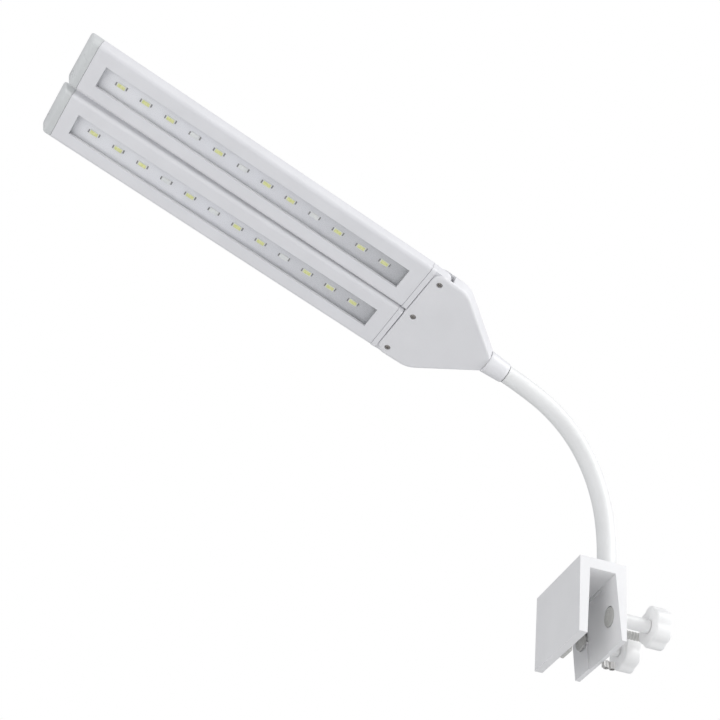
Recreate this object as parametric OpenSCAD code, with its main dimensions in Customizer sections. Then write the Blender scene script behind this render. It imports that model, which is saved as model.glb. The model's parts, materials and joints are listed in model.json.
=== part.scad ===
// Twin-bar LED lamp on a gooseneck, held by an inverted-U screw clamp.
// Millimetres. The origin is the middle of the clamp's seat, the face that rests on the
// panel's top edge. +X points from the fixed jaw to the thumbscrews, +Z is up.

/* [Clamp] */
// Width of the jaw gap at the seat
jaw_gap = 15.4; // [12:0.2:18]
// Length of the clamp along the panel
clamp_len = 60; // [56:1:70]
// Height of the jaws below the seat
jaw_depth = 39.5; // [36:0.5:44]
// Thickness of the bridge that joins the jaws
bridge_t = 6.5; // [6.2:0.1:8]
// Thickness of the fixed jaw where it meets the bridge
fixed_jaw_top = 6; // [5:0.2:7]
// Thickness of the fixed jaw at its foot
fixed_jaw_foot = 4.8; // [4:0.2:5]
// Thickness of the screw jaw where it meets the bridge
screw_jaw_top = 6.6; // [6:0.2:7]
// Thickness of the screw jaw at its foot
screw_jaw_foot = 2.9; // [2.6:0.1:3.4]

/* [Thumbscrews] */
// Distance between the two screws
screw_spacing = 35; // [34:0.5:36]
// Depth of the screws below the seat
screw_drop = 20.5; // [19:0.5:22]
// Diameter of the screw shank
shank_d = 8; // [7:0.5:8.5]
// Diameter of the knob over its lobes
knob_d = 24; // [22:0.1:25]
// Thickness of the knob
knob_t = 10; // [9:0.5:12]
// Number of lobes on the knob
knob_lobes = 6; // [5:1:8]
// Turn of the knobs at rest, in degrees
knob_turn = 12; // [0:1:60]
// Distance from the screw jaw to the knob's back face, screw drawn back
knob_reach = 18.9; // [18:0.1:22]
// How far the second screw is turned in at rest
second_screw_in = 1.25; // [0:0.25:2.5]
// Diameter of the swivel pad
pad_d = 11.5; // [10:0.5:12]

/* [Gooseneck] */
// Outer diameter of the sleeve
neck_d = 11; // [10.6:0.1:12]
// Length of one flexible stretch
stretch_len = 22; // [20:0.5:24]
// Straight length above the clamp
root_len = 8; // [7.5:0.5:10]
// Bend of each stretch at rest, in degrees, from the root up
neck_bend = [8, 12, 14, 17.5, 17, 6]; // [4:0.5:20]
// Turn of the neck's plane from the clamp's own X axis
neck_yaw = 9.2; // [0:0.1:20]
// Twist of the head about the neck's end
head_roll = 12.4; // [0:0.1:30]

/* [Head] */
// Distance from the neck's end to the pivots
pivot_reach = 65; // [62:0.5:68]
// Distance of each pivot from the head's middle
pivot_side = 28; // [27:0.5:29]
// Radius of the pivot ears and of the housing's front corners
ear_r = 5.7; // [5.4:0.1:6]
// Thickness of the housing
housing_t = 10.6; // [10.2:0.1:11]

/* [Bars] */
// Width of one bar
bar_w = 33.6; // [32:0.2:33.8]
// Thickness of one bar
bar_t = 8.8; // [8:0.2:9]
// Distance between the bars at rest
bar_gap = 1; // [0.8:0.1:2]
// How far the second bar stands open at rest, in degrees
bar_splay = 0.5; // [0:0.1:1]
// Number of light-emitting diodes on a bar
led_count = 12; // [12:1:12]
// Distance between the diodes
led_pitch = 16; // [15.5:0.1:16]
// Width of the clear window
window_w = 14.6; // [12:0.2:16]

/* [Hidden] */
$fn = 48;
slack = 0.05;
cut = 1;
white = [0.93, 0.93, 0.94];

// Clamp
fixed_x = -jaw_gap / 2 - fixed_jaw_top;
screw_x = jaw_gap / 2 + screw_jaw_top;
cover_t = 1.5;
cover_margin = 2.2;
cavity_floor = 1.6;
cavity_w = 15;
recess_w = 24;
recess_t = 0.8;
lead_x = 12.2;
lead_way_r = 1.15;
lead_way_w = 3.2;
outlet_z = -19;
relief_r = 2.4;
relief_core_r = 2;
relief_bore_r = 1.5;
relief_end = 40;
relief_flange_r = 3.4;
relief_pitch = 1.8;
relief_ribs = 12;
clip_r = 1.8;
clip_bore_r = 1.1;
clip_low = -jaw_depth - 3;
clip_high = -jaw_depth + 1;
jaw_pad_w = 12;
jaw_pad_h = 30;
jaw_pad_t = 2.2;
jaw_pad_drop = 0.5;

// Thumbscrews
shank_r = shank_d / 2;
pad_t = 1.4;
tip_r = 2.1;
tip_len = 0.7;
seat_margin = 0.35;
lobe_r = knob_d * 0.24;
knob_core_r = knob_d * 0.45;
knob_back = screw_x + knob_reach;
jaw_slope = (screw_jaw_top - screw_jaw_foot) / jaw_depth;
pad_seat = jaw_gap / 2 + jaw_slope * screw_drop + 1.1;
pad_back = pad_seat - 0.1;

// Gooseneck
neck_x = 6;
neck_y = -22;
stretches = len(neck_bend);
neck_r = neck_d / 2;
core_r = 3.6;
lead_bore_r = 1.6;
lead_r = 0.9;
ball_r = neck_r - 0.3;
cup_r = neck_r - 0.1;
rim_gap = 1.6;
stud_r = 4;
stud_depth = bridge_t - cavity_floor;
notch_w = 3.8;
notch_h = 2;
nut_flats = 12;
nut_t = 1.4;

// Head, in its own frame: x along the bars, z towards the lit side
collar_gap = 0.4;
collar_len = 14;
collar_r1 = 6.1;
collar_r2 = 7;
ferrule_r = 3.9;
flange_r = 5.2;
flange_t = 2;
flange_end = 13;
wall = 2.1;
face_z = housing_t / 2 - 0.5;
back_z = face_z - housing_t;
ear_top = face_z - wall - 0.1;
ear_foot = back_z + wall + 0.1;
shoulder_x = 54;
shoulder_y = 17.5;
shoulder_r = 16;
throat_x = 17;
throat_r = 7.6;
housing_edge = 2.2;
seam_z = face_z - wall;
bush_r = 2.6;
screw_r = 1.2;
screw_head_r = 1.7;
screw_head_t = 1.4;

// Bars, in the same frame
bar_face = face_z - 0.9;
bar_back = bar_face - bar_t;
bar_root = pivot_reach + ear_r + 0.3;
root_cap_len = 3;
end_cap_start = 293.5;
bar_end = 302;
end_bevel = 4;
bar_inner = bar_gap / 2;
bar_mid = bar_inner + bar_w / 2;
edge_r = 2.5;
skin = 1.6;
side_skin = 1.8;
board_t = 1.2;
board_w = 22;
board_start = bar_root + root_cap_len + 4.4;
led_x = 97;
led_top = bar_face - 3;
led_l = 5.7;
led_w = 3;
led_h = 0.7;
board_top = led_top - led_h;
window_t = 0.8;
window_start = 83.5;
window_end = 285;
clear_led_places = [3, 6, 8];

// ---------- placing ----------

// Sum of the bends below joint k
function bent(k) = k <= 0 ? 0 : neck_bend[k - 1] + bent(k - 1);
// Radius of the arc of stretch k, counted from 0
function arc_r(k) = stretch_len * 180 / (PI * neck_bend[k]);
// Straight distance across stretch k
function chord(k) = 2 * arc_r(k) * sin(neck_bend[k] / 2);
// Place of joint k in the neck's plane: outward, then up
function joint_out(k) =
    k <= 0 ? 0 : joint_out(k - 1) + chord(k - 1) * sin(bent(k - 1) + neck_bend[k - 1] / 2);
function joint_up(k) =
    k <= 0 ? root_len : joint_up(k - 1) + chord(k - 1) * cos(bent(k - 1) + neck_bend[k - 1] / 2);

// The neck's plane: x outward over the fixed jaw, z up from the bridge's top
module in_neck_plane() {
    translate([neck_x, neck_y, bridge_t])
        rotate([0, 0, 180 + neck_yaw])
            children();
}

// Frame at joint k, z along the neck
module at_joint(k) {
    in_neck_plane()
        translate([joint_out(k), 0, joint_up(k)])
            rotate([0, bent(k), 0])
                children();
}

// The head's frame at the end of the neck
module at_head() {
    at_joint(stretches)
        rotate([0, 0, 180 + head_roll])
            rotate([0, -90, 0])
                children();
}

// One bar's frame: side -1 or 1, opened by its splay about its pivot
module at_bar(side) {
    splay = side > 0 ? bar_splay : 0;
    at_head()
        translate([pivot_reach, side * pivot_side, 0])
            rotate([0, 0, splay])
                translate([-pivot_reach, -side * pivot_side, 0])
                    children();
}

// ---------- clamp ----------

module clamp_profile() {
    polygon([
        [fixed_x, bridge_t], [screw_x, bridge_t],
        [screw_x, -jaw_depth], [screw_x - screw_jaw_foot, -jaw_depth],
        [jaw_gap / 2, 0], [-jaw_gap / 2, 0],
        [fixed_x + fixed_jaw_foot, -jaw_depth], [fixed_x, -jaw_depth]
    ]);
}

module cover_area(margin, height) {
    translate([fixed_x + margin, -clamp_len / 2 + margin, 0])
        cube([screw_x - fixed_x - 2 * margin, clamp_len - 2 * margin, height]);
}

// Shallow recess down the middle of the screw jaw's inner face
module jaw_recess() {
    face = jaw_gap / 2 + recess_t;
    rotate([90, 0, 0])
        linear_extrude(height = recess_w, center = true)
            polygon([
                [5, -1.5], [face + jaw_slope * 1.5, -1.5],
                [face + jaw_slope * (jaw_depth + cut), -jaw_depth - cut], [5, -jaw_depth - cut]
            ]);
}

module clamp_frame() {
    way_end = lead_x + lead_way_r;
    color(white)
        difference() {
            rotate([90, 0, 0])
                linear_extrude(height = clamp_len, center = true)
                    clamp_profile();
            jaw_recess();
            translate([0, 0, bridge_t - cover_t])
                cover_area(cover_margin, cover_t + cut);
            // Cavity for the nut, and the lead's way from it down the screw jaw and out
            translate([neck_x - cavity_w / 2, neck_y - nut_flats / 2 - 0.2, cavity_floor])
                cube([cavity_w, 13 - neck_y, bridge_t]);
            translate([neck_x, -lead_way_w / 2, cavity_floor])
                cube([way_end - neck_x, lead_way_w, bridge_t - cover_t - cavity_floor]);
            translate([lead_x, 0, outlet_z - lead_way_r])
                cylinder(r = lead_way_r, h = cavity_floor - outlet_z + lead_way_r + 1);
            translate([lead_x, 0, outlet_z])
                rotate([0, 90, 0])
                    cylinder(r = lead_way_r - 0.05, h = screw_x - lead_x + cut);
            for (side = [-1, 1])
                translate([0, side * screw_spacing / 2, -screw_drop])
                    rotate([0, 90, 0]) {
                        cylinder(r = shank_r + slack, h = screw_x + cut);
                        cylinder(r = pad_d / 2 + seat_margin, h = pad_seat);
                    }
        }
}

module bridge_cover() {
    color(white)
        translate([0, 0, bridge_t - cover_t])
            difference() {
                cover_area(cover_margin + slack, cover_t);
                translate([neck_x, neck_y, -cut])
                    cylinder(r = stud_r + slack, h = cover_t + 2 * cut);
            }
}

// Grip pad at the foot of the fixed jaw
module jaw_pad() {
    lean = atan((fixed_jaw_top - fixed_jaw_foot) / jaw_depth);
    color("whitesmoke")
        translate([fixed_x + fixed_jaw_foot, 0, -jaw_depth])
            rotate([0, lean, 0])
                translate([0, -jaw_pad_w / 2, -jaw_pad_drop])
                    cube([jaw_pad_t, jaw_pad_w, jaw_pad_h]);
}

module hex_nut(flats, thick, bore_r) {
    difference() {
        cylinder(r = flats / sqrt(3), h = thick, $fn = 6);
        translate([0, 0, -cut])
            cylinder(r = bore_r, h = thick + 2 * cut, $fn = 48);
    }
}

module neck_nut() {
    color("silver")
        translate([neck_x, neck_y, bridge_t - cover_t - nut_t])
            hex_nut(nut_flats, nut_t, stud_r + slack);
}

// Ribbed strain relief where the supply lead leaves the screw jaw
module cord_gland() {
    length = relief_end - screw_x;
    color("dimgray")
        translate([screw_x, 0, outlet_z])
            rotate([0, 90, 0])
                difference() {
                    union() {
                        cylinder(r = relief_core_r, h = length);
                        cylinder(r = relief_flange_r, h = 1.2);
                        for (i = [1 : relief_ribs])
                            translate([0, 0, 1.4 + relief_pitch * i])
                                cylinder(r = relief_r, h = 1);
                    }
                    translate([0, 0, -cut])
                        cylinder(r = relief_bore_r, h = length + 2 * cut);
                }
}

// Small steel clip with two loops at the foot of the screw jaw
module lead_clip() {
    color("silver")
        difference() {
            union() {
                for (i = [0, 1])
                    translate([screw_x + clip_r + 0.3 + i * 3.5, 0, clip_low])
                        cylinder(r = clip_r, h = clip_high - clip_low);
                translate([screw_x, -1.5, clip_low + 0.5])
                    cube([0.9, 3, 6]);
            }
            for (i = [0, 1])
                translate([screw_x + clip_r + 0.3 + i * 3.5, 0, clip_low - cut])
                    cylinder(r = clip_bore_r, h = clip_high - clip_low + 2 * cut);
        }
}

// Round lead between two points
module wire(a, b, r = lead_r) {
    d = b - a;
    length = norm(d);
    translate(a)
        rotate([0, acos(d[2] / length), atan2(d[1], d[0])])
            cylinder(r = r, h = length, $fn = 16);
}

// A run of wire with round joints
module wire_run(points, r = lead_r) {
    for (i = [0 : len(points) - 2])
        wire(points[i], points[i + 1], r);
    for (i = [1 : len(points) - 2])
        translate(points[i])
            sphere(r = r + 0.1, $fn = 16);
}

module clamp_lead() {
    low = cavity_floor + lead_r + 0.1;
    color("dimgray")
        wire_run([
            [neck_x, neck_y, bridge_t + root_len - cup_r - 0.4],
            [neck_x, neck_y, low],
            [neck_x, 0, low],
            [lead_x, 0, low],
            [lead_x, 0, outlet_z],
            [screw_x - 0.1, 0, outlet_z]
        ]);
}

// ---------- gooseneck ----------

// Straight tube along z
module tube(outer, inner, low, high) {
    translate([0, 0, low])
        difference() {
            cylinder(r = outer, h = high - low);
            translate([0, 0, -cut])
                cylinder(r = inner, h = high - low + 2 * cut);
        }
}

// Part of stretch k's arc, from one length along it to another
module arc_rod(k, r, from, to) {
    turn = neck_bend[k] / stretch_len;
    translate([arc_r(k), 0, 0])
        rotate([0, from * turn, 0])
            rotate([90, 0, 180])
                rotate_extrude(angle = (to - from) * turn, $fn = 96)
                    translate([arc_r(k), 0])
                        circle(r = r, $fn = 32);
}

// Places its children at the far joint of stretch k
module at_far_end(k) {
    translate([arc_r(k), 0, 0])
        rotate([0, neck_bend[k], 0])
            translate([-arc_r(k), 0, 0])
                children();
}

// Threaded root that carries the first ball cup
module neck_root_stud() {
    color("silver")
        in_neck_plane()
            difference() {
                union() {
                    translate([0, 0, -stud_depth])
                        cylinder(r = stud_r, h = stud_depth);
                    cylinder(r = core_r, h = root_len);
                }
                translate([0, 0, root_len])
                    sphere(r = cup_r);
                translate([0, 0, -stud_depth - cut])
                    cylinder(r = lead_bore_r, h = root_len + stud_depth + 2 * cut);
                // Notch where the lead turns into the cavity
                translate([-notch_w / 2, -stud_r - cut, -stud_depth - cut])
                    cube([notch_w, stud_r + cut, notch_h + cut]);
            }
}

module neck_root_sleeve() {
    color(white)
        in_neck_plane()
            difference() {
                tube(neck_r, core_r + slack, 0, root_len - rim_gap);
                translate([0, 0, root_len])
                    sphere(r = cup_r);
            }
}

// Steel conduit core of one stretch, with the ball it bends on
module neck_core(k) {
    last = k == stretches - 1;
    color("silver")
        at_joint(k)
            difference() {
                union() {
                    sphere(r = ball_r);
                    arc_rod(k, core_r, 0, stretch_len);
                }
                if (!last)
                    at_far_end(k)
                        sphere(r = cup_r);
                arc_rod(k, lead_bore_r, -ball_r - cut, stretch_len + cut);
            }
}

module neck_sleeve(k) {
    last = k == stretches - 1;
    color(white)
        at_joint(k)
            difference() {
                arc_rod(k, neck_r, rim_gap, stretch_len - (last ? 0 : rim_gap));
                arc_rod(k, core_r + slack, 0, stretch_len + 0.5);
                sphere(r = ball_r + slack);
                if (!last)
                    at_far_end(k)
                        sphere(r = cup_r);
            }
}

module neck_lead(k) {
    last = k == stretches - 1;
    color("dimgray")
        at_joint(k)
            arc_rod(k, lead_r, -ball_r + 0.3, stretch_len - (last ? 0 : cup_r + 0.3));
    if (last)
        color("dimgray")
            at_head()
                wire([-0.1, 0, 0], [flange_end - 0.4, 0, 0], lead_r - 0.05);
}

// ---------- head ----------

// Steel end of the neck; its flange turns inside the collar
module neck_ferrule() {
    color("silver")
        at_head()
            rotate([0, 90, 0])
                difference() {
                    union() {
                        translate([0, 0, 0.02])
                            cylinder(r = ferrule_r, h = flange_end - 0.02);
                        translate([0, 0, flange_end - flange_t])
                            cylinder(r = flange_r, h = flange_t);
                    }
                    cylinder(r = lead_bore_r, h = flange_end + cut);
                }
}

// Friction washer that the flange turns against
module swivel_washer() {
    color("dimgray")
        at_head()
            rotate([0, 90, 0])
                tube(flange_r - slack, lead_bore_r, flange_end + slack, collar_len);
}

module neck_collar() {
    color(white)
        at_head()
            rotate([0, 90, 0])
                difference() {
                    translate([0, 0, collar_gap])
                        cylinder(r1 = collar_r1, r2 = collar_r2, h = collar_len - collar_gap);
                    cylinder(r = ferrule_r + slack, h = collar_len + cut);
                    translate([0, 0, flange_end - flange_t - slack])
                        cylinder(r = flange_r + slack, h = collar_len);
                }
}

module housing_circles(inset) {
    for (side = [-1, 1]) {
        translate([pivot_reach, side * pivot_side])
            circle(r = ear_r - inset, $fn = 32);
        translate([shoulder_x, side * shoulder_y])
            circle(r = shoulder_r - inset, $fn = 32);
    }
    translate([throat_x, 0])
        circle(r = throat_r - inset, $fn = 32);
}

// Spade-shaped block whose edges are bevelled
module housing_block(inset, low, high, edge) {
    hull() {
        translate([0, 0, low])
            linear_extrude(height = high - low)
                housing_circles(inset + edge);
        translate([0, 0, low + edge])
            linear_extrude(height = high - low - 2 * edge)
                housing_circles(inset);
    }
}

// Everything beyond the seam with the collar
module past_collar(from) {
    translate([from, -60, -20])
        cube([100, 120, 40]);
}

module at_pivots() {
    for (side = [-1, 1])
        translate([pivot_reach, side * pivot_side, 0])
            children();
}

module housing_shell() {
    color(white)
        at_head()
            difference() {
                union() {
                    difference() {
                        intersection() {
                            housing_block(0, back_z, face_z, housing_edge);
                            past_collar(collar_len);
                        }
                        intersection() {
                            housing_block(wall, back_z + wall, face_z + 4, 0.5);
                            past_collar(collar_len + wall);
                        }
                    }
                    translate([pivot_reach, 0, back_z + wall - 0.1])
                        cylinder(r = 3, h = seam_z - back_z - wall + 0.1);
                }
                // The cover takes over above the seam
                translate([0, -60, seam_z])
                    cube([100, 120, 20]);
                // Openings where the ears turn out at the front corners
                for (side = [-1, 1])
                    translate([pivot_reach - ear_r - 0.3, side > 0 ? pivot_side - ear_r - 0.3 : -60,
                               ear_foot - 0.1])
                        cube([60, 60 - pivot_side + ear_r + 0.3, seam_z - ear_foot + 0.2]);
                translate([pivot_reach, 0, back_z + wall])
                    cylinder(r = screw_r - 0.1, h = housing_t);
                translate([collar_len - cut, 0, 0])
                    rotate([0, 90, 0])
                        cylinder(r = lead_bore_r, h = wall + 2 * cut);
            }
}

// Lit side of the housing, with the bevelled edge all round
module housing_cover() {
    color([0.88, 0.88, 0.9])
        at_head()
            difference() {
                intersection() {
                    housing_block(0, back_z, face_z, housing_edge);
                    translate([collar_len, -60, seam_z])
                        cube([100, 120, 20]);
                }
                for (y = [-pivot_side, 0, pivot_side])
                    translate([pivot_reach, y, 0]) {
                        cylinder(r = screw_r + slack, h = face_z + cut);
                        translate([0, 0, face_z - screw_head_t])
                            cylinder(r = screw_head_r + 0.1, h = screw_head_t + cut);
                    }
            }
}

// Pan-head screws: two through the pivots, one through the middle
module housing_screws() {
    head_top = face_z - 0.3;
    color("gray")
        at_head()
            for (y = [-pivot_side, 0, pivot_side])
                translate([pivot_reach, y, 0])
                    difference() {
                        union() {
                            translate([0, 0, head_top - screw_head_t + 0.3])
                                cylinder(r = screw_head_r, h = screw_head_t - 0.3);
                            translate([0, 0, ear_foot + 0.6])
                                cylinder(r = screw_r - 0.15, h = head_top - ear_foot - 1);
                        }
                        for (turn = [0, 90])
                            rotate([0, 0, turn])
                                translate([-1.1, -0.25, head_top - 0.7])
                                    cube([2.2, 0.5, 1]);
                    }
}

module pivot_bushes() {
    color("silver")
        at_head()
            at_pivots()
                tube(bush_r, screw_r, back_z + wall, face_z - wall);
}

// Lead from the neck, forked to the two pivots
module head_lead() {
    split = collar_len + wall + 2;
    color("dimgray")
        at_head() {
            wire([flange_end + 0.4, 0, 0], [split, 0, 0]);
            for (side = [-1, 1])
                wire([split - 1, side * 0.2, 0],
                     [pivot_reach - 9, side * (pivot_side - 10), 0], 0.6);
        }
}

// ---------- bars ----------

// Outer section of a bar, y across and z towards the lit side
module bar_section(side, inset) {
    r = edge_r - inset;
    half = bar_w / 2 - inset;
    middle = (bar_face + bar_back) / 2;
    rise = bar_t / 2 - inset;
    translate([side * bar_mid, middle]) {
        square([2 * (half - r), 2 * rise], center = true);
        square([2 * half, 2 * (rise - r)], center = true);
        for (y = [-1, 1], z = [-1, 1])
            translate([y * (half - r), z * (rise - r)])
                circle(r = r);
    }
}

// Stands a section up along x
module along_bar(from, to) {
    translate([from, 0, 0])
        rotate([90, 0, 90])
            linear_extrude(height = to - from)
                children();
}

// Block inside a bar, centred on it
module bar_box(side, from, to, width, low, high) {
    translate([from, side * bar_mid - width / 2, low])
        cube([to - from, width, high - low]);
}

module bar_channel(side) {
    from = bar_root + root_cap_len;
    color(white)
        at_bar(side)
            difference() {
                along_bar(from, end_cap_start)
                    bar_section(side, 0);
                bar_box(side, from - cut, end_cap_start + cut, bar_w - 2 * side_skin,
                        bar_back + skin, bar_face - skin);
                bar_box(side, window_start, window_end, window_w, 0, bar_face + cut);
            }
    // Ribs that carry the board
    color(white)
        at_bar(side)
            for (y = [-9, 9])
                translate([from + 4, side * bar_mid + y - 0.75, bar_back + skin])
                    cube([end_cap_start - from - 8, 1.5, board_top - board_t - bar_back - skin]);
}

module bar_end_cap(side) {
    rake = atan(end_bevel / bar_t);
    color([0.9, 0.92, 0.91])
        at_bar(side) {
            difference() {
                along_bar(end_cap_start, bar_end)
                    bar_section(side, 0);
                translate([bar_end, side * bar_mid, bar_back])
                    rotate([0, -rake, 0])
                        translate([0, -bar_w, -cut])
                            cube([20, 2 * bar_w, 20]);
            }
            bar_box(side, end_cap_start - 3, end_cap_start, bar_w - 2 * side_skin - 0.2,
                    bar_back + skin + 0.1, bar_face - skin - 0.1);
        }
}

// Cap with the ear that turns on the pivot bush
module bar_root_cap(side) {
    from = bar_root;
    ear_y = side * pivot_side;
    color(white)
        at_bar(side)
            difference() {
                union() {
                    along_bar(from, from + root_cap_len)
                        bar_section(side, 0);
                    bar_box(side, from + root_cap_len, from + root_cap_len + 3.6,
                            bar_w - 2 * side_skin - 0.2, bar_back + skin + 0.1,
                            bar_face - skin - 0.1);
                    translate([pivot_reach, ear_y, ear_foot])
                        cylinder(r = ear_r, h = ear_top - ear_foot);
                    translate([pivot_reach, ear_y - ear_r, ear_foot])
                        cube([from - pivot_reach + 0.5, 2 * ear_r, ear_top - ear_foot]);
                }
                translate([pivot_reach, ear_y, -20])
                    cylinder(r = bush_r + slack, h = 40);
                // Way for the lead
                translate([from - 3, side * bar_mid, 0])
                    rotate([0, 90, 0])
                        cylinder(r = 1.3, h = 12);
            }
}

module bar_window(side) {
    color([0.85, 0.9, 0.95, 0.35])
        at_bar(side)
            bar_box(side, window_start - 2.5, window_end + 2.5, window_w + 6,
                    bar_face - skin - window_t, bar_face - skin);
}

module bar_board(side) {
    color([0.8, 0.81, 0.83])
        at_bar(side)
            bar_box(side, board_start, end_cap_start - 4, board_w,
                    board_top - board_t, board_top);
}

// True for the places that hold a clear diode, counted from the housing
function is_clear(i) = len(search(i, clear_led_places)) > 0;

module led_body() {
    translate([-led_l / 2, -led_w / 2, 0])
        cube([led_l, led_w, led_h - 0.15]);
    translate([-led_l / 2 + 0.4, -led_w / 2 + 0.25, led_h - 0.15])
        cube([led_l - 0.8, led_w - 0.5, 0.15]);
}

// Diodes of one kind
module bar_leds(side, clear) {
    for (i = [0 : led_count - 1])
        if (is_clear(i) == clear)
            at_bar(side)
                translate([led_x + led_pitch * i, side * bar_mid, board_top])
                    led_body();
}

module bar_lead(side) {
    low = board_top - board_t / 2;
    color("dimgray")
        at_bar(side)
            wire([bar_root + 0.3, side * bar_mid, low], [board_start, side * bar_mid, low], 0.5);
}

// ---------- thumbscrews ----------

// Frame of a screw: x along its axis, turned in by a distance
module at_screw(side) {
    turned_in = side > 0 ? second_screw_in : 0;
    translate([-turned_in, side * screw_spacing / 2, -screw_drop])
        rotate([0, 90, 0])
            children();
}

module knob(side) {
    color(white)
        at_screw(side)
            translate([0, 0, knob_back])
                linear_extrude(height = knob_t) {
                    circle(r = knob_core_r);
                    for (i = [0 : knob_lobes - 1])
                        rotate([0, 0, knob_turn + i * 360 / knob_lobes])
                            translate([knob_d / 2 - lobe_r, 0])
                                circle(r = lobe_r);
                }
}

module shank(side) {
    color(white)
        at_screw(side) {
            translate([0, 0, pad_back + 0.1])
                cylinder(r = shank_r, h = knob_back - pad_back - 0.1);
            translate([0, 0, pad_back - tip_len])
                cylinder(r = tip_r, h = tip_len + 0.2);
        }
}

module swivel_pad(side) {
    color("whitesmoke")
        at_screw(side)
            translate([0, 0, pad_back - pad_t])
                difference() {
                    cylinder(r = pad_d / 2, h = pad_t);
                    translate([0, 0, pad_t - tip_len - 0.1])
                        cylinder(r = tip_r + slack, h = tip_len + cut);
                }
}

// ---------- nodes ----------

clamp_frame();
bridge_cover();
jaw_pad();
neck_nut();
cord_gland();
lead_clip();
clamp_lead();
neck_root_stud();
neck_root_sleeve();
knob(-1);  // front_knob
shank(-1);  // front_shank
swivel_pad(-1);  // front_pad
knob(1);  // rear_knob
shank(1);  // rear_shank
swivel_pad(1);  // rear_pad
neck_core(0);  // neck_core_1
neck_core(1);  // neck_core_2
neck_core(2);  // neck_core_3
neck_core(3);  // neck_core_4
neck_core(4);  // neck_core_5
neck_core(5);  // neck_core_6
neck_sleeve(0);  // neck_sleeve_1
neck_sleeve(1);  // neck_sleeve_2
neck_sleeve(2);  // neck_sleeve_3
neck_sleeve(3);  // neck_sleeve_4
neck_sleeve(4);  // neck_sleeve_5
neck_sleeve(5);  // neck_sleeve_6
neck_lead(0);  // neck_lead_1
neck_lead(1);  // neck_lead_2
neck_lead(2);  // neck_lead_3
neck_lead(3);  // neck_lead_4
neck_lead(4);  // neck_lead_5
neck_lead(5);  // neck_lead_6
neck_ferrule();
swivel_washer();
neck_collar();
housing_shell();
housing_cover();
housing_screws();
pivot_bushes();
head_lead();
bar_channel(-1);  // bar_a_channel
bar_end_cap(-1);  // bar_a_end_cap
bar_root_cap(-1);  // bar_a_root_cap
bar_window(-1);  // bar_a_window
bar_board(-1);  // bar_a_board
color("khaki") bar_leds(-1, false);  // bar_a_yellow_leds
color("white") bar_leds(-1, true);  // bar_a_clear_leds
bar_lead(-1);  // bar_a_lead
bar_channel(1);  // bar_b_channel
bar_end_cap(1);  // bar_b_end_cap
bar_root_cap(1);  // bar_b_root_cap
bar_window(1);  // bar_b_window
bar_board(1);  // bar_b_board
color("khaki") bar_leds(1, false);  // bar_b_yellow_leds
color("white") bar_leds(1, true);  // bar_b_clear_leds
bar_lead(1);  // bar_b_lead
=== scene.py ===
"""Twin-bar LED lamp on a gooseneck with a screw clamp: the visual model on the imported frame.

Shapes are drawn in millimetres and brought to metres as pieces are made. In the head's frame
x runs from the neck's end along the bars and z points out of the lit side.
"""

import json
import math

import bmesh
import bpy
from mathutils import Matrix, Vector


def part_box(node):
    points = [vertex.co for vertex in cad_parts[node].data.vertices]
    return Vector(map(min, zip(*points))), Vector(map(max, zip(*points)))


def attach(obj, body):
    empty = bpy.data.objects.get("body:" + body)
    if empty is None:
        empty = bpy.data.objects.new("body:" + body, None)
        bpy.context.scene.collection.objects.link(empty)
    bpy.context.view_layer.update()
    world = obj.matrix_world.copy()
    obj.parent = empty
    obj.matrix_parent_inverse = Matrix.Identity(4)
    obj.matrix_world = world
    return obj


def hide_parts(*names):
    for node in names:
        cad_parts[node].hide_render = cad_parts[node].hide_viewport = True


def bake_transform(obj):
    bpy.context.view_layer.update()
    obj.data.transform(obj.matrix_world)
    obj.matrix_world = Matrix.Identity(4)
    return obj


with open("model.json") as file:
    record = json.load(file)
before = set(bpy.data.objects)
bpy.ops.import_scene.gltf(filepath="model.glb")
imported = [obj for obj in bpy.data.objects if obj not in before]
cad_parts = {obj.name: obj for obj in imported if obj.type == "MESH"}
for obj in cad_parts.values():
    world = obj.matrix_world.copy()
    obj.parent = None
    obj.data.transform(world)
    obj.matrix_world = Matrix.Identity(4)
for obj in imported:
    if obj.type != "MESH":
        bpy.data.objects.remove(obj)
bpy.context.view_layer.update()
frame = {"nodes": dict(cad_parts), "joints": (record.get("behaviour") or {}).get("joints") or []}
nodes = frame["nodes"]
joints = {j["name"]: j for j in frame["joints"]}
MM = 0.001
SIDES = {"a": -1, "b": 1}
PIVOT_X, PIVOT_Y = 65.0, 28.0
BAR_MID = 17.3

# Degrees between faces: past the first an edge shades sharp, past the second a copy rounds it
SHARP_ANGLE = 38.0
CREASE_ANGLE = 40.0

# Quarter turn in even steps, for rounded edges
QUARTER = [math.radians(d) for d in (0, 15, 30, 45, 60, 75, 90)]


# ---------- frames ----------


def frame_of(origin, x_axis, z_axis):
    """Matrix from millimetres in a local frame to metres in the row frame."""
    x = Vector(x_axis).normalized()
    z = Vector(z_axis).normalized()
    y = z.cross(x).normalized()
    z = x.cross(y)
    turn = Matrix((x, y, z)).transposed().to_4x4()
    return Matrix.Translation(Vector(origin)) @ turn @ Matrix.Scale(MM, 4)


WORLD = Matrix.Scale(MM, 4)
swivel = joints["head_swivel"]
lit_way = joints["bar_b_pivot"]["axis"]
HEAD = frame_of(swivel["pos_m"], swivel["axis"], lit_way)
splay = math.radians(joints["bar_b_pivot"]["range_deg"][0])


def bar_frame(letter):
    """The head's frame, turned about the pivot by bar_b's opening at rest; bar_a stands shut."""
    if letter == "a":
        return HEAD
    pivot = Vector((PIVOT_X, PIVOT_Y, 0.0))
    turn = Matrix.Rotation(-splay, 4, "Z")
    return HEAD @ Matrix.Translation(pivot) @ turn @ Matrix.Translation(-pivot)


# ---------- materials ----------


def node_material(name):
    material = bpy.data.materials.new(name)
    material.use_nodes = True
    tree = material.node_tree
    shader = tree.nodes["Principled BSDF"]
    coords = tree.nodes.new("ShaderNodeTexCoord")
    return material, tree, shader, coords


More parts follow.
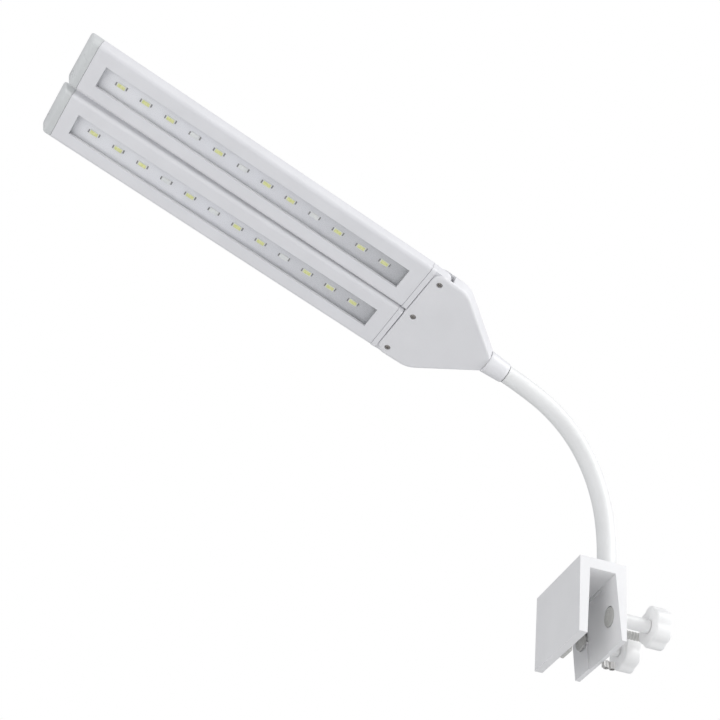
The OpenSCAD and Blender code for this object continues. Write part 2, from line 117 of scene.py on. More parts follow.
def noise(tree, coords, scale, detail=3.0):
    n = tree.nodes.new("ShaderNodeTexNoise")
    n.inputs["Scale"].default_value = scale
    n.inputs["Detail"].default_value = detail
    tree.links.new(coords.outputs["Object"], n.inputs["Vector"])
    return n


def ramp(tree, source, stops):
    r = tree.nodes.new("ShaderNodeValToRGB")
    r.color_ramp.elements[0].position, r.color_ramp.elements[0].color = stops[0]
    r.color_ramp.elements[1].position, r.color_ramp.elements[1].color = stops[-1]
    for place, color in stops[1:-1]:
        r.color_ramp.elements.new(place).color = color
    tree.links.new(source, r.inputs["Fac"])
    return r


def bump(tree, height, shader, strength, distance):
    b = tree.nodes.new("ShaderNodeBump")
    b.inputs["Strength"].default_value = strength
    b.inputs["Distance"].default_value = distance
    tree.links.new(height, b.inputs["Height"])
    tree.links.new(b.outputs["Normal"], shader.inputs["Normal"])


def tint(color, k):
    return (color[0] * k, color[1] * k, color[2] * k, 1.0)


def grey(value):
    return (value, value, value, 1.0)


def moulded(name, color, rough, grain=2600.0, strength=0.05, soft=0.0, vary=0.035):
    """Moulded plastic: faint cloudy colour, uneven gloss, fine spark-eroded grain."""
    material, tree, shader, coords = node_material(name)
    cloud = noise(tree, coords, 38.0, 4.0)
    mix = ramp(tree, cloud.outputs["Fac"],
               [(0.3, tint(color, 1 - vary)), (0.7, tint(color, 1 + vary * 0.4))])
    tree.links.new(mix.outputs["Color"], shader.inputs["Base Color"])
    blotch = noise(tree, coords, 150.0, 2.0)
    span = ramp(tree, blotch.outputs["Fac"],
                [(0.3, grey(rough - 0.05)), (0.7, grey(rough + 0.07))])
    tree.links.new(span.outputs["Color"], shader.inputs["Roughness"])
    fine = noise(tree, coords, grain, 2.0)
    bump(tree, fine.outputs["Fac"], shader, strength, 0.00006)
    shader.inputs["IOR"].default_value = 1.5
    if soft:
        shader.inputs["Subsurface Weight"].default_value = soft
        shader.inputs["Subsurface Radius"].default_value = (0.004, 0.004, 0.004)
        shader.inputs["Subsurface Scale"].default_value = 1.0
    return material


def steel(name, color, rough):
    """Zinc-plated steel with fine turning lines and slightly uneven shine."""
    material, tree, shader, coords = node_material(name)
    shader.inputs["Metallic"].default_value = 1.0
    cloud = noise(tree, coords, 300.0, 4.0)
    mix = ramp(tree, cloud.outputs["Fac"],
               [(0.25, tint(color, 0.78)), (0.75, tint(color, 1.0))])
    tree.links.new(mix.outputs["Color"], shader.inputs["Base Color"])
    span = ramp(tree, cloud.outputs["Fac"],
                [(0.2, grey(rough - 0.08)), (0.8, grey(rough + 0.1))])
    tree.links.new(span.outputs["Color"], shader.inputs["Roughness"])
    lines = tree.nodes.new("ShaderNodeTexWave")
    lines.wave_type = "RINGS"
    lines.inputs["Scale"].default_value = 900.0
    lines.inputs["Distortion"].default_value = 3.0
    tree.links.new(coords.outputs["Object"], lines.inputs["Vector"])
    bump(tree, lines.outputs["Fac"], shader, 0.08, 0.00004)
    return material


def clear_plastic(name):
    """Clear sheet that stays thin to the eye: light goes straight through it."""
    material, tree, shader, coords = node_material(name)
    cloud = noise(tree, coords, 60.0, 3.0)
    mix = ramp(tree, cloud.outputs["Fac"],
               [(0.3, (0.86, 0.89, 0.93, 1)), (0.7, (0.93, 0.95, 0.98, 1))])
    tree.links.new(mix.outputs["Color"], shader.inputs["Base Color"])
    shader.inputs["Alpha"].default_value = 0.10
    shader.inputs["Roughness"].default_value = 0.08
    shader.inputs["IOR"].default_value = 1.49
    haze = noise(tree, coords, 700.0, 2.0)
    bump(tree, haze.outputs["Fac"], shader, 0.03, 0.00003)
    return material


def phosphor(name, color, deep):
    """Phosphor gel of a diode, its colour mottled."""
    material, tree, shader, coords = node_material(name)
    cells = noise(tree, coords, 900.0, 3.0)
    mix = ramp(tree, cells.outputs["Fac"], [(0.3, deep + (1,)), (0.65, color + (1,))])
    tree.links.new(mix.outputs["Color"], shader.inputs["Base Color"])
    shader.inputs["Roughness"].default_value = 0.28
    shader.inputs["Subsurface Weight"].default_value = 0.1
    shader.inputs["Subsurface Radius"].default_value = (0.001, 0.001, 0.0006)
    grains = noise(tree, coords, 5000.0, 2.0)
    bump(tree, grains.outputs["Fac"], shader, 0.1, 0.00003)
    return material


def board_mask(name):
    """White solder mask with painted shade, darker towards the end by the housing."""
    material, tree, shader, coords = node_material(name)
    # Painted shade along the bar: the mask's colour runs from dark grey at the housing end to near
    # white at the far end
    along = tree.nodes.new("ShaderNodeVectorMath")
    along.operation = "DOT_PRODUCT"
    tree.links.new(coords.outputs["Object"], along.inputs[0])
    run = (HEAD.to_3x3() @ Vector((1, 0, 0))).normalized()
    along.inputs[1].default_value = run
    start = (HEAD @ Vector((79, 0, 0))).dot(run)
    length_m = 0.21
    painted_shade_run = tree.nodes.new("ShaderNodeMapRange")
    painted_shade_run.inputs["From Min"].default_value = start
    painted_shade_run.inputs["From Max"].default_value = start + length_m
    tree.links.new(along.outputs["Value"], painted_shade_run.inputs["Value"])
    weave = noise(tree, coords, 1300.0, 3.0)
    add = tree.nodes.new("ShaderNodeMath")
    add.operation = "MULTIPLY_ADD"
    add.inputs[1].default_value = 0.22
    tree.links.new(weave.outputs["Fac"], add.inputs[0])
    tree.links.new(painted_shade_run.outputs["Result"], add.inputs[2])
    mix = ramp(tree, add.outputs["Value"],
               [(0.06, (0.42, 0.42, 0.43, 1)), (0.30, (0.64, 0.64, 0.66, 1)),
                (0.62, (0.80, 0.80, 0.83, 1)), (1.0, (0.86, 0.86, 0.88, 1))])
    tree.links.new(mix.outputs["Color"], shader.inputs["Base Color"])
    shader.inputs["Roughness"].default_value = 0.33
    bump(tree, weave.outputs["Fac"], shader, 0.1, 0.00005)
    return material


WHITE = moulded("white_moulding", (0.755, 0.755, 0.77), 0.36)
BAR = moulded("bar_moulding", (0.755, 0.755, 0.775), 0.34)
CLAMP = moulded("clamp_moulding", (0.78, 0.78, 0.785), 0.42, grain=1800.0, strength=0.08)
SLEEVE = moulded("sleeve_skin", (0.80, 0.805, 0.80), 0.40, grain=3200.0, strength=0.04)
CAP = moulded("end_cap_moulding", (0.64, 0.655, 0.655), 0.30, soft=0.15, vary=0.05)
KNOB = moulded("knob_moulding", (0.87, 0.87, 0.865), 0.38)
PAD = moulded("pad_rubber", (0.52, 0.52, 0.50), 0.72, grain=1400.0, strength=0.25, vary=0.08)
GLAND = moulded("gland_moulding", (0.60, 0.60, 0.58), 0.45)
JACKET = moulded("lead_jacket", (0.62, 0.62, 0.63), 0.5, grain=1600.0, strength=0.12)
BOARD = board_mask("board_mask")
FRAME = moulded("diode_frame", (0.80, 0.80, 0.78), 0.35)
STEEL = steel("zinc_steel", (0.80, 0.79, 0.77), 0.38)
DULL = steel("solder", (0.20, 0.19, 0.18), 0.45)
SCREW = steel("screw_steel", (0.42, 0.40, 0.38), 0.30)
LENS = clear_plastic("window_sheet")
YELLOW = phosphor("yellow_phosphor", (0.86, 0.86, 0.36), (0.68, 0.72, 0.12))
PALE = phosphor("pale_phosphor", (0.86, 0.87, 0.84), (0.74, 0.76, 0.74))


# ---------- mesh helpers ----------


def finish_piece(name, bm, where, materials, angle=SHARP_ANGLE):
    """Turns a bmesh in millimetres into an object in the row frame, its crisp edges sharp."""
    bmesh.ops.recalc_face_normals(bm, faces=bm.faces)
    bmesh.ops.transform(bm, matrix=where, verts=bm.verts)
    mesh = bpy.data.meshes.new(name)
    bm.to_mesh(mesh)
    bm.free()
    for m in materials:
        mesh.materials.append(m)
    mesh.shade_smooth()
    mesh.set_sharp_from_angle(angle=math.radians(angle))
    piece = bpy.data.objects.new(name, mesh)
    bpy.context.scene.collection.objects.link(piece)
    return piece


def weigh(piece):
    """Weights normals by face size, so that large flat faces shade flat."""
    m = piece.modifiers.new("normals", "WEIGHTED_NORMAL")
    m.keep_sharp = True
    return piece


def loft(bm, rings, close=(True, True)):
    """Skins rings of equal length and closes the first and the last where asked."""
    made = [[bm.verts.new(p) for p in ring] for ring in rings]
    n = len(made[0])
    for low, high in zip(made[:-1], made[1:]):
        for i in range(n):
            j = (i + 1) % n
            bm.faces.new((low[i], low[j], high[j], high[i]))
    if close[0]:
        bm.faces.new(list(reversed(made[0])))
    if close[1]:
        bm.faces.new(made[-1])


def lathe(bm, profile, steps=64, axis="z", close=(True, True)):
    """Turns (radius, height) pairs about an axis of the local frame."""
    rings = []
    for r, h in profile:
        ring = []
        for i in range(steps):
            t = 2 * math.pi * i / steps
            u, v = r * math.cos(t), r * math.sin(t)
            ring.append((h, u, v) if axis == "x" else (u, v, h))
        rings.append(ring)
    loft(bm, rings, close)


def bevel(bm, edges, radius, steps):
    bmesh.ops.bevel(bm, geom=edges, offset=radius, offset_type="OFFSET", segments=steps,
                    profile=0.5, affect="EDGES", clamp_overlap=True)


def round_box(bm, low, high, radius, steps=3):
    """Box between two corners, its edges bevelled round."""
    low, high = Vector(low), Vector(high)
    corners = [Vector((x, y, z))
               for x in (low.x, high.x) for y in (low.y, high.y) for z in (low.z, high.z)]
    v = [bm.verts.new(c) for c in corners]
    faces = [(0, 1, 3, 2), (4, 6, 7, 5), (0, 4, 5, 1), (2, 3, 7, 6), (0, 2, 6, 4), (1, 5, 7, 3)]
    made = [bm.faces.new([v[i] for i in f]) for f in faces]
    bevel(bm, list({e for f in made for e in f.edges}), radius, steps)


def clean_copy(node):
    """The node's own surface as a welded bmesh in millimetres, with flat faces merged."""
    bm = bmesh.new()
    bm.from_mesh(nodes[node].data)
    bmesh.ops.scale(bm, vec=(1000, 1000, 1000), verts=bm.verts)
    bmesh.ops.remove_doubles(bm, verts=bm.verts, dist=0.002)
    bmesh.ops.dissolve_limit(bm, angle_limit=math.radians(0.6), verts=bm.verts, edges=bm.edges)
    return bm


def recast(name, node, body, material, radius, steps=2):
    """A finer copy of a hard-edged node: its sharp edges rounded as a mould would leave them."""
    bm = clean_copy(node)
    crease = math.radians(CREASE_ANGLE)
    sharp = [e for e in bm.edges if len(e.link_faces) == 2 and e.calc_face_angle(0) > crease]
    bevel(bm, sharp, radius, steps)
    piece = weigh(finish_piece(name, bm, WORLD, [material]))
    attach(piece, body)
    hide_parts(node)
    return piece


def carve(piece, cutters):
    """Cuts objects out of a piece, leaves it a plain mesh and removes the cutters."""
    for c in cutters:
        m = piece.modifiers.new("cut", "BOOLEAN")
        m.operation = "DIFFERENCE"
        m.solver = "MANIFOLD"
        m.object = c
    graph = bpy.context.evaluated_depsgraph_get()
    mesh = bpy.data.meshes.new_from_object(piece.evaluated_get(graph))
    piece.modifiers.clear()
    old = piece.data
    piece.data = mesh
    bpy.data.meshes.remove(old)
    mesh.shade_smooth()
    mesh.set_sharp_from_angle(angle=math.radians(SHARP_ANGLE))
    for c in cutters:
        tool = c.data
        bpy.data.objects.remove(c)
        bpy.data.meshes.remove(tool)


def dress(material, *names):
    """Gives carried-over nodes a node material."""
    for n in names:
        mesh = nodes[n].data
        mesh.materials.clear()
        mesh.materials.append(material)


# ---------- gooseneck ----------

FOOT_STEPS = 9
STEPS = 20
NECK_R = 5.5
FOOT_PROFILE = [(5.45, 0.0), (6.1, 0.0), (6.2, 0.12), (6.1, 0.5), (5.75, 0.75), (5.52, 0.9)]

bends = sorted((j for j in joints if j.startswith("neck_")), key=lambda n: int(n[-1]))
points = [Vector(joints[j]["pos_m"]) for j in bends] + [Vector(swivel["pos_m"])]
neck_foot = points[0].copy()
neck_foot.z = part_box("clamp_frame")[1].z


def arc(a, way, b, steps):
    """Points and directions on the circle that leaves a along way and reaches b."""
    chord = b - a
    c = chord.normalized()
    angle = 2 * way.angle(c)
    axis = way.cross(c)
    if angle < 1e-6 or axis.length < 1e-9:
        return [(a + chord * (i / steps), way.copy()) for i in range(steps + 1)]
    axis.normalize()
    radius = chord.length / (2 * math.sin(angle / 2))
    centre = a + axis.cross(way).normalized() * radius
    out = []
    for i in range(steps + 1):
        turn = Matrix.Rotation(angle * i / steps, 3, axis)
        out.append((centre + turn @ (a - centre), turn @ way))
    return out


# The neck's line: places in metres and directions, from the bridge to the swivel
line = []
for i in range(FOOT_STEPS):
    line.append((neck_foot.lerp(points[0], i / FOOT_STEPS), Vector((0, 0, 1))))
starts = []
way = Vector((0, 0, 1))
for k in range(6):
    starts.append(len(line))
    run = arc(points[k], way, points[k + 1], STEPS)
    line += run[:-1]
    way = run[-1][1]
line.append((points[6], way))


def sleeve(name, first, last, steps=72):
    """Smooth tube over part of the neck's line."""
    side = Vector(joints[bends[0]]["axis"]).normalized()
    bm = bmesh.new()
    rings = []
    for p, t in line[first:last + 1]:
        u = (side - t * side.dot(t)).normalized()
        v = t.cross(u)
        rings.append([p * 1000 + NECK_R * (u * math.cos(a) + v * math.sin(a))
                      for a in (2 * math.pi * i / steps for i in range(steps))])
    loft(bm, rings, close=(False, False))
    piece = finish_piece(name, bm, WORLD, [SLEEVE])
    return piece


cuts = [0] + [s + STEPS // 2 for s in starts] + [len(line) - 1]
for k in range(6):
    tube = sleeve(f"neck_skin_{k}", cuts[k], cuts[k + 1])
    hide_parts("neck_root_sleeve" if k == 0 else f"neck_sleeve_{k}")
    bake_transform(tube)
tip = sleeve("neck_skin_6", cuts[6], cuts[7])
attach(tip, "neck_6")
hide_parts("neck_sleeve_6")

# Moulded foot ring where the neck leaves the bridge
bm = bmesh.new()
lathe(bm, FOOT_PROFILE, close=(False, False))
ring = finish_piece("neck_foot_ring", bm, Matrix.Translation(neck_foot) @ WORLD, [WHITE])
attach(ring, "clamp")
dress(STEEL, "neck_root_stud", "neck_nut", "neck_ferrule", "pivot_bushes", "swivel_washer",
      *[f"neck_core_{k}" for k in range(1, 7)])
dress(JACKET, "clamp_lead", "head_lead", "bar_a_lead", "bar_b_lead",
      *[f"neck_lead_{k}" for k in range(1, 7)])


# ---------- clamp ----------

recast("clamp_shell", "clamp_frame", "clamp", CLAMP, 0.35)
recast("clamp_lid", "bridge_cover", "clamp", CLAMP, 0.15)
recast("jaw_grip", "jaw_pad", "clamp", PAD, 0.7, steps=3)
recast("relief_body", "cord_gland", "clamp", GLAND, 0.18)
recast("clip_body", "lead_clip", "clamp", STEEL, 0.12)

KNOB_R = 12.0
KNOB_TURN = math.radians(12)
KNOB_RIM = 1.3
LOBES = 6
LOBE_AT, LOBE_R = 6.24, 5.76
VALLEY_R = 10.7
VALLEY_SOFTNESS = 6

SHANK_R, SHANK_TIP_R = 3.99, 2.05
THREAD_PITCH, THREAD_DEPTH = 1.25, 0.30
THREAD_END = 14.6
THREAD_STEP = 0.156

PAD_PROFILE = [(1.1, 0.3), (2.5, 0.3), (2.75, 0.04), (3.9, 0.04), (4.1, 0.16), (4.3, 0.04),
               (5.2, 0.0), (5.55, 0.12), (5.72, 0.4), (5.72, 1.0), (5.6, 1.3), (5.4, 1.38),
               (2.3, 1.38)]


def screw_axis(name):
    """Y and Z of a thumbscrew's axis, in millimetres."""
    place = joints[f"{name}_screw_turn"]["pos_m"]
    return 1000 * place[1], 1000 * place[2]


def lobed(inset, steps=180):
    """Outline of the knob: round lobes joined by soft valleys."""
    out = []
    sector = 2 * math.pi / LOBES
    for i in range(steps):
        t = 2 * math.pi * i / steps
        near = (t - KNOB_TURN + sector / 2) % sector - sector / 2
        across = LOBE_AT * math.sin(near)
        lobe = LOBE_AT * math.cos(near) + math.sqrt(max(0.0, LOBE_R ** 2 - across ** 2))
        joined = math.exp(VALLEY_SOFTNESS * lobe) + math.exp(VALLEY_SOFTNESS * VALLEY_R)
        r = math.log(joined) / VALLEY_SOFTNESS - 0.02
        r = min(r, KNOB_R) - inset
        out.append((r * math.cos(t), r * math.sin(t)))
    return out


def knob(name, node, body):
    """Lobed knob with rounded rims and a shallow hollow in each face."""
    low, high = (1000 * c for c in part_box(node))
    screw_y, screw_z = screw_axis(name)
    x0, x1 = low.x, high.x
    r = KNOB_RIM
    stations = [(x0 + 0.35, 7.6), (x0 + 0.35, 6.9), (x0 + 0.05, 6.0), (x0, 5.0), (x0, r + 0.8)]
    stations += [(x0 + r * (1 - math.cos(a)), r * (1 - math.sin(a))) for a in QUARTER]
    stations += [((low.x + high.x) / 2, 0.0)]
    stations += [(x1 - r * (1 - math.cos(a)), r * (1 - math.sin(a))) for a in reversed(QUARTER)]
    stations += [(x1, r + 0.8), (x1 - 0.02, 4.0), (x1 - 0.5, 4.8), (x1 - 0.6, 6.2)]
    bm = bmesh.new()
    rings = []
    for x, inset in stations:
        rings.append([(x, screw_y - z, screw_z + y) for y, z in lobed(inset)])
    loft(bm, rings)
    piece = finish_piece(f"{name}_knob_body", bm, WORLD, [KNOB])
    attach(piece, body)
    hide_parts(node)


def shank(name, node, body, steps=48):
    """Moulded screw: a thread where it runs in the jaw, a plain round neck on to the knob."""
    low, high = (1000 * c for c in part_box(node))
    screw_y, screw_z = screw_axis(name)

    def ring(x, radii):
        turns = (2 * math.pi * i / steps for i in range(steps))
        return [(x, screw_y + r * math.cos(a), screw_z + r * math.sin(a))
                for r, a in zip(radii, turns)]

    def thread(x, fade):
        """Depth of the thread at each step round the shank."""
        waves = (math.cos(2 * math.pi * (x / THREAD_PITCH - i / steps)) for i in range(steps))
        return [THREAD_DEPTH * fade * (1 - (0.5 + 0.5 * w) ** 1.5) for w in waves]

    rings = [ring(low.x, [1.7] * steps)]
    x = low.x + 0.02
    while x < THREAD_END:
        fade = min(1.0, max(0.0, (x - low.x - 1.0) / 0.6), max(0.0, (THREAD_END - x) / 0.8))
        core = SHANK_TIP_R if x < low.x + 0.8 else SHANK_R
        rings.append(ring(x, [core - depth for depth in thread(x, fade)]))
        x += THREAD_STEP
    for x in (THREAD_END, high.x - 0.5, high.x):
        rings.append(ring(x, [SHANK_R] * steps))
    bm = bmesh.new()
    loft(bm, rings)
    piece = finish_piece(f"{name}_shank_body", bm, WORLD, [KNOB], angle=60)
    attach(piece, body)
    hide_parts(node)


def swivel_pad(name, node, body):
    """Pressure pad with a rounded rim and a shallow ring in its face."""
    low, high = (1000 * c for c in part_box(node))
    c = (low + high) / 2
    bm = bmesh.new()
    lathe(bm, PAD_PROFILE, axis="x")
    where = Matrix.Translation(Vector((low.x, c.y, c.z)) * MM) @ WORLD
    piece = finish_piece(f"{name}_pad_body", bm, where, [PAD])
    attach(piece, body)
    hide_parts(node)


for side_name in ("front", "rear"):
    knob(side_name, f"{side_name}_knob", f"{side_name}_screw")
    shank(side_name, f"{side_name}_shank", f"{side_name}_screw")
    swivel_pad(side_name, f"{side_name}_pad", f"{side_name}_pad")


# ---------- head ----------

# Housing outline: x, y and radius of its front corners, its shoulders and its throat
OUTLINE = [(PIVOT_X, PIVOT_Y, 5.7), (PIVOT_X, -PIVOT_Y, 5.7), (54, 17.5, 16), (54, -17.5, 16),
           (17, 0, 7.6)]
COLLAR_SEAM = 14.0
BACK, SEAM, TOP = -6.2, 2.3, 4.4
BACK_ROUND = 2.4
SCREW_PLACES = (-PIVOT_Y, 0.0, PIVOT_Y)
HOLE_PROFILE = [(1.78, 3.0), (1.78, 4.22), (2.0, 4.5)]
SCREW_PROFILE = [(1.05, -2.6), (1.05, 3.0), (1.66, 3.02), (1.7, 3.25), (1.62, 3.6), (1.3, 3.86),
                 (0.7, 3.98)]
COLLAR_PROFILE = [(4.0, 0.55), (5.6, 0.42), (5.95, 0.5), (6.12, 0.8), (6.35, 4.0), (6.62, 8.0),
                  (6.85, 11.5), (6.98, 13.4), (6.9, 13.75), (6.6, 13.9), (5.4, 13.9)]


def spade(inset, steps=220):
    """Hull of the outline's circles, clipped at the collar's seam."""
    out = []
    for i in range(steps):
        t = 2 * math.pi * (i + 0.5) / steps
        u, v = math.cos(t), math.sin(t)
        x, y, r = max(OUTLINE, key=lambda c: c[0] * u + c[1] * v + c[2])
        out.append((max(x + (r - inset) * u, COLLAR_SEAM), y + (r - inset) * v))
    return out


def spade_ring(inset, z):
    return [(x, y, z) for x, y in spade(inset)]


def head_piece(name, bm, material):
    piece = finish_piece(name, bm, HEAD, [material])
    return piece


def slot_cutter(side):
    """Room that the ear turns in, open at the front corner."""
    y0, y1 = sorted((side * 22.0, side * 60.0))
    bm = bmesh.new()
    round_box(bm, (59.0, y0, -4.1), (120.0, y1, 2.6), 0.01, 1)
    return finish_piece(f"cut_{side}", bm, HEAD, [])


bm = bmesh.new()
rings = [spade_ring(3.2, BACK)]
rings += [spade_ring(BACK_ROUND * (1 - math.sin(a)), BACK + BACK_ROUND * (1 - math.cos(a)))
          for a in QUARTER]
rings += [spade_ring(0.0, SEAM - 0.12), spade_ring(0.06, SEAM), spade_ring(3.0, SEAM)]
loft(bm, rings)
shell = head_piece("housing_body", bm, WHITE)
carve(shell, [slot_cutter(1), slot_cutter(-1)])
weigh(shell)
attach(shell, "head")
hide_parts("housing_shell")

# Cover over the whole lit side, its outer edge rounded over
bm = bmesh.new()
rings = [spade_ring(3.0, SEAM + 0.03), spade_ring(0.06, SEAM + 0.03), spade_ring(0.0, SEAM + 0.12)]
rings += [spade_ring(2.0 * (1 - math.cos(a)), TOP - 1.95 * (1 - math.sin(a))) for a in QUARTER]
rings += [spade_ring(3.4, TOP)]
loft(bm, rings)
lid = head_piece("housing_lid", bm, WHITE)
holes = []
for y in SCREW_PLACES:
    hole = bmesh.new()
    lathe(hole, HOLE_PROFILE, steps=40)
    spot = HEAD @ Matrix.Translation((PIVOT_X, y, 0))
    holes.append(finish_piece(f"hole_{int(y)}", hole, spot, []))
carve(lid, holes)
weigh(lid)
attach(lid, "head")
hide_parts("housing_cover")

# Pan heads sunk in the cover, each with a cross recess
bm = bmesh.new()
for y in SCREW_PLACES:
    before = set(bm.verts)
    lathe(bm, SCREW_PROFILE, steps=40)
    bmesh.ops.translate(bm, vec=(PIVOT_X, y, 0), verts=list(set(bm.verts) - before))
screws = finish_piece("screw_bodies", bm, HEAD, [SCREW])
slots = []
for y in SCREW_PLACES:
    for turn in (20, 110):
        cross = bmesh.new()
        round_box(cross, (-1.05, -0.22, 3.35), (1.05, 0.22, 4.3), 0.05, 1)
        spot = HEAD @ Matrix.Translation((PIVOT_X, y, 0))
        spot = spot @ Matrix.Rotation(math.radians(turn + y), 4, "Z")
        slots.append(finish_piece(f"cross_{int(y)}_{turn}", cross, spot, []))
carve(screws, slots)
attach(screws, "head")
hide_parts("housing_screws")

# Collar with softened rims and a seam at the housing
bm = bmesh.new()
lathe(bm, COLLAR_PROFILE, axis="x", close=(False, False))
collar = head_piece("collar_body", bm, WHITE)
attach(collar, "head")
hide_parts("neck_collar")


# ---------- bars ----------

# Section of a bar, then the near and far ends of what lies along it
FACE, REAR, HALF_WIDTH, CORNER = 3.5, -5.3, 16.8, 2.5
CHANNEL = (74.05, 293.45)
POCKET = (78.4, 289.5)
BOARD_ENDS = (78.5, 289.4)
SHEET = (81.0, 287.5)
WINDOW = (83.5, 285.0)
HALF_WINDOW = 7.3
TIP_X, TIP_RAKE = 301.9, 0.45
BOARD_TOP = -0.2
FIRST_DIODE, DIODE_PITCH, DIODES = 97, 16, 12
CLEAR_PLACES = (3, 6, 8)


def bar_ring(x, side, face=FACE, rear=REAR, half=HALF_WIDTH, r=CORNER, steps=8):
    """Rounded section of a bar at one place along it."""
    middle = side * BAR_MID
    corners = ((half - r, face - r, 0), (-(half - r), face - r, 90),
               (-(half - r), rear + r, 180), (half - r, rear + r, 270))
    out = []
    for cy, cz, start in corners:
        for i in range(steps + 1):
            a = math.radians(start + 90 * i / steps)
            out.append((x, middle + cy + r * math.cos(a), cz + r * math.sin(a)))
    return out


def soft_section(bm, side, low, high, edge=0.25):
    """Length of the bar's section with its two ends lightly rounded."""
    slim = (FACE - edge, REAR + edge, HALF_WIDTH - edge, 2.4)
    loft(bm, [bar_ring(low, side, *slim), bar_ring(low + edge, side),
              bar_ring(high - edge, side), bar_ring(high, side, *slim)])


def box_cutter(name, low, high, where):
    bm = bmesh.new()
    round_box(bm, low, high, 0.02, 2)
    return finish_piece(name, bm, where, [])


def second_box(bm, low, high, radius, steps):
    """Rounded box whose faces take the piece's second material."""
    before = set(bm.faces)
    round_box(bm, low, high, radius, steps)
    for f in set(bm.faces) - before:
        f.material_index = 1


def make_channel(body, side, where):
    """Bar housing, hollowed for the board and opened for the window."""
    mid = side * BAR_MID
    bm = bmesh.new()
    soft_section(bm, side, *CHANNEL)
    channel = finish_piece(f"{body}_body", bm, where, [BAR])
    pocket = box_cutter("pocket", (POCKET[0], mid - 15.0, -3.7),
                        (POCKET[1], mid + 15.0, 1.9), where)
    mouth = box_cutter("mouth", (WINDOW[0], mid - HALF_WINDOW, 0.5),
                       (WINDOW[1], mid + HALF_WINDOW, 9.0), where)
    carve(channel, [pocket, mouth])
    weigh(channel)
    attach(channel, body)
    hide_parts(f"{body}_channel")


def make_end_cap(body, side, where):
    """End cap: raked end, rounded all round."""
    bm = bmesh.new()
    rings = [bar_ring(293.55, side, 3.3, -5.1, 16.6, 2.3), bar_ring(293.75, side)]
    for inset, step in ((0.0, 0.0), (0.12, 0.7), (0.5, 1.3), (1.1, 1.6)):
        section = bar_ring(0, side, FACE - inset, REAR + inset, HALF_WIDTH - inset,
                           CORNER - inset * 0.6)
        rings.append([(TIP_X - (z - REAR) * TIP_RAKE - 1.6 + step, y, z) for x, y, z in section])
    loft(bm, rings)
    cap = finish_piece(f"{body}_tip", bm, where, [CAP])
    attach(cap, body)
    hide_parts(f"{body}_end_cap")


def make_board(body, side, where):
    """Circuit board with a solder land at each end of every diode."""
    mid = side * BAR_MID
    bm = bmesh.new()
    round_box(bm, (BOARD_ENDS[0], mid - 11, -1.4), (BOARD_ENDS[1], mid + 11, BOARD_TOP), 0.08, 1)
    for i in range(DIODES):
        x = FIRST_DIODE + DIODE_PITCH * i
        for end, across in ((-1, -0.35), (1, 0.35)):
            c = x + end * 3.15
            second_box(bm, (c - 0.55, mid + across - 1.15, BOARD_TOP - 0.05),
                       (c + 0.55, mid + across + 1.15, BOARD_TOP + 0.28), 0.14, 2)
    board = finish_piece(f"{body}_circuit", bm, where, [BOARD, DULL])
    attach(board, body)
    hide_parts(f"{body}_board")


def make_diodes(body, side, where, kind, gel):
    """All diodes of one kind on a bar: a white frame with phosphor standing just proud of it."""
    mid = side * BAR_MID
    bm = bmesh.new()
    for i in range(DIODES):
        if (i in CLEAR_PLACES) != (kind == "clear"):
            continue
        x = FIRST_DIODE + DIODE_PITCH * i
        round_box(bm, (x - 2.85, mid - 1.5, BOARD_TOP + 0.01),
                  (x + 2.85, mid + 1.5, BOARD_TOP + 0.62), 0.12, 2)
        second_box(bm, (x - 2.4, mid - 1.22, BOARD_TOP + 0.3),
                   (x + 2.4, mid + 1.22, BOARD_TOP + 0.69), 0.16, 3)
    leds = finish_piece(f"{body}_{kind}_diodes", bm, where, [FRAME, gel])
    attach(leds, body)
    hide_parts(f"{body}_{kind}_leds")


def make_sheet(body, side, where):
    """Clear sheet behind the face."""
    mid = side * BAR_MID
    bm = bmesh.new()
    round_box(bm, (SHEET[0], mid - 10.2, 1.12), (SHEET[1], mid + 10.2, 1.88), 0.08, 1)
    sheet = finish_piece(f"{body}_sheet", bm, where, [LENS])
    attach(sheet, body)
    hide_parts(f"{body}_window")


for letter, side in SIDES.items():
    where = bar_frame(letter)
    body = f"bar_{letter}"
    make_channel(body, side, where)
    recast(f"{body}_root", f"{body}_root_cap", body, BAR, 0.18)
    make_end_cap(body, side, where)
    make_board(body, side, where)
    make_diodes(body, side, where, "yellow", YELLOW)
    make_diodes(body, side, where, "clear", PALE)
    make_sheet(body, side, where)


# ---------- stage, light, camera ----------

bm = bmesh.new()
round_box(bm, (-6000, -6000, -560), (6000, 6000, -540), 4, 2)
paint = moulded("floor_paint", (0.85, 0.85, 0.85), 0.8, grain=30.0)
floor = finish_piece("floor", bm, WORLD, [paint])

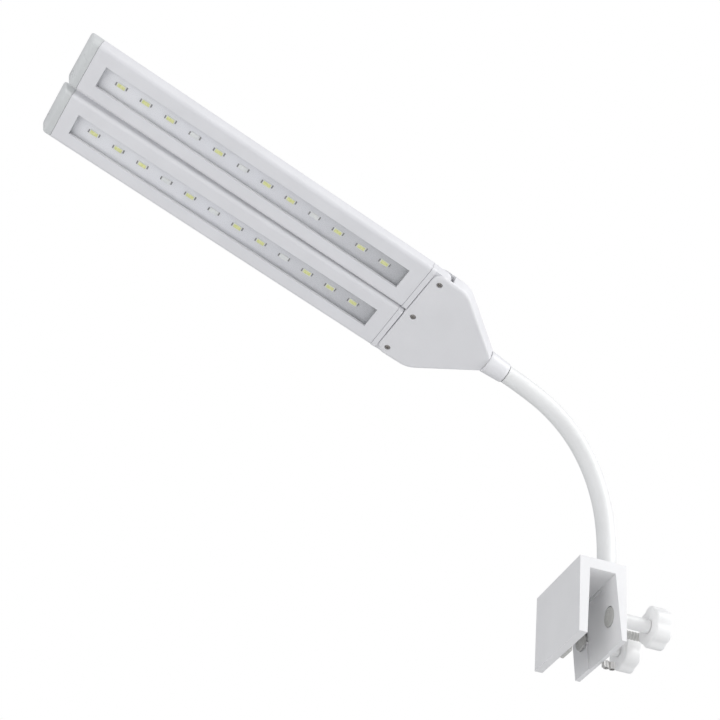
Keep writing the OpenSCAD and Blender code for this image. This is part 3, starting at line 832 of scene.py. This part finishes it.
# Plain white where the camera sees past the lamp, a soft cool fill where light falls on it
world = bpy.data.worlds.new("studio")
bpy.context.scene.world = world
world.use_nodes = True
tree = world.node_tree
for n in list(tree.nodes):
    tree.nodes.remove(n)
out = tree.nodes.new("ShaderNodeOutputWorld")
seen = tree.nodes.new("ShaderNodeBackground")
seen.inputs["Strength"].default_value = 1.0
seen.inputs["Color"].default_value = (1, 1, 1, 1)
fill = tree.nodes.new("ShaderNodeBackground")
fill.inputs["Strength"].default_value = 0.55
fill.inputs["Color"].default_value = (0.96, 0.97, 1.0, 1)
rays = tree.nodes.new("ShaderNodeLightPath")
mixer = tree.nodes.new("ShaderNodeMixShader")
tree.links.new(rays.outputs["Is Camera Ray"], mixer.inputs["Fac"])
tree.links.new(fill.outputs["Background"], mixer.inputs[1])
tree.links.new(seen.outputs["Background"], mixer.inputs[2])
tree.links.new(mixer.outputs["Shader"], out.inputs["Surface"])


def softbox(name, at, aim, size, power):
    data = bpy.data.lights.new(name, "AREA")
    data.shape = "RECTANGLE"
    data.size, data.size_y = size
    data.energy = power
    lamp = bpy.data.objects.new(name, data)
    lamp.location = at
    lamp.rotation_euler = (Vector(aim) - Vector(at)).to_track_quat("-Z", "Y").to_euler()
    bpy.context.scene.collection.objects.link(lamp)


softbox("key", (0.9, -0.9, 0.9), (0, 0, 0.05), (0.8, 0.8), 11)
softbox("side", (1.2, -0.6, -0.2), (0, 0, 0.0), (0.7, 0.9), 7)
softbox("under", (-0.5, -0.8, -0.9), (-0.1, 0, 0.1), (1.0, 1.0), 4)
softbox("left", (-1.15, -0.85, -0.1), (-0.05, 0, 0.05), (1.0, 1.0), 6.2)


# Camera fitted to the photo: heading, elevation and roll in degrees, place in metres
HEADING, ELEVATION, ROLL = -13.98, -35.64, 6.94
EYE_PLACE = (-0.3198, -0.7044, -0.4025)


def camera():
    a, e, roll = (math.radians(v) for v in (HEADING, ELEVATION, ROLL))
    right = Vector((math.cos(a), math.sin(a), 0))
    back_way = Vector((math.sin(a) * math.cos(e), -math.cos(a) * math.cos(e), math.sin(e)))
    up = back_way.cross(right)
    r = math.cos(roll) * right + math.sin(roll) * up
    u = -math.sin(roll) * right + math.cos(roll) * up
    data = bpy.data.cameras.new("camera")
    data.sensor_width = 36
    data.lens = 75
    data.clip_start = 0.05
    data.clip_end = 20
    eye = bpy.data.objects.new("camera", data)
    place = Matrix((r, u, back_way)).transposed().to_4x4()
    place.translation = Vector(EYE_PLACE)
    eye.matrix_world = place
    bpy.context.scene.collection.objects.link(eye)
    bpy.context.scene.camera = eye


camera()
bpy.context.scene.view_settings.view_transform = "Standard"
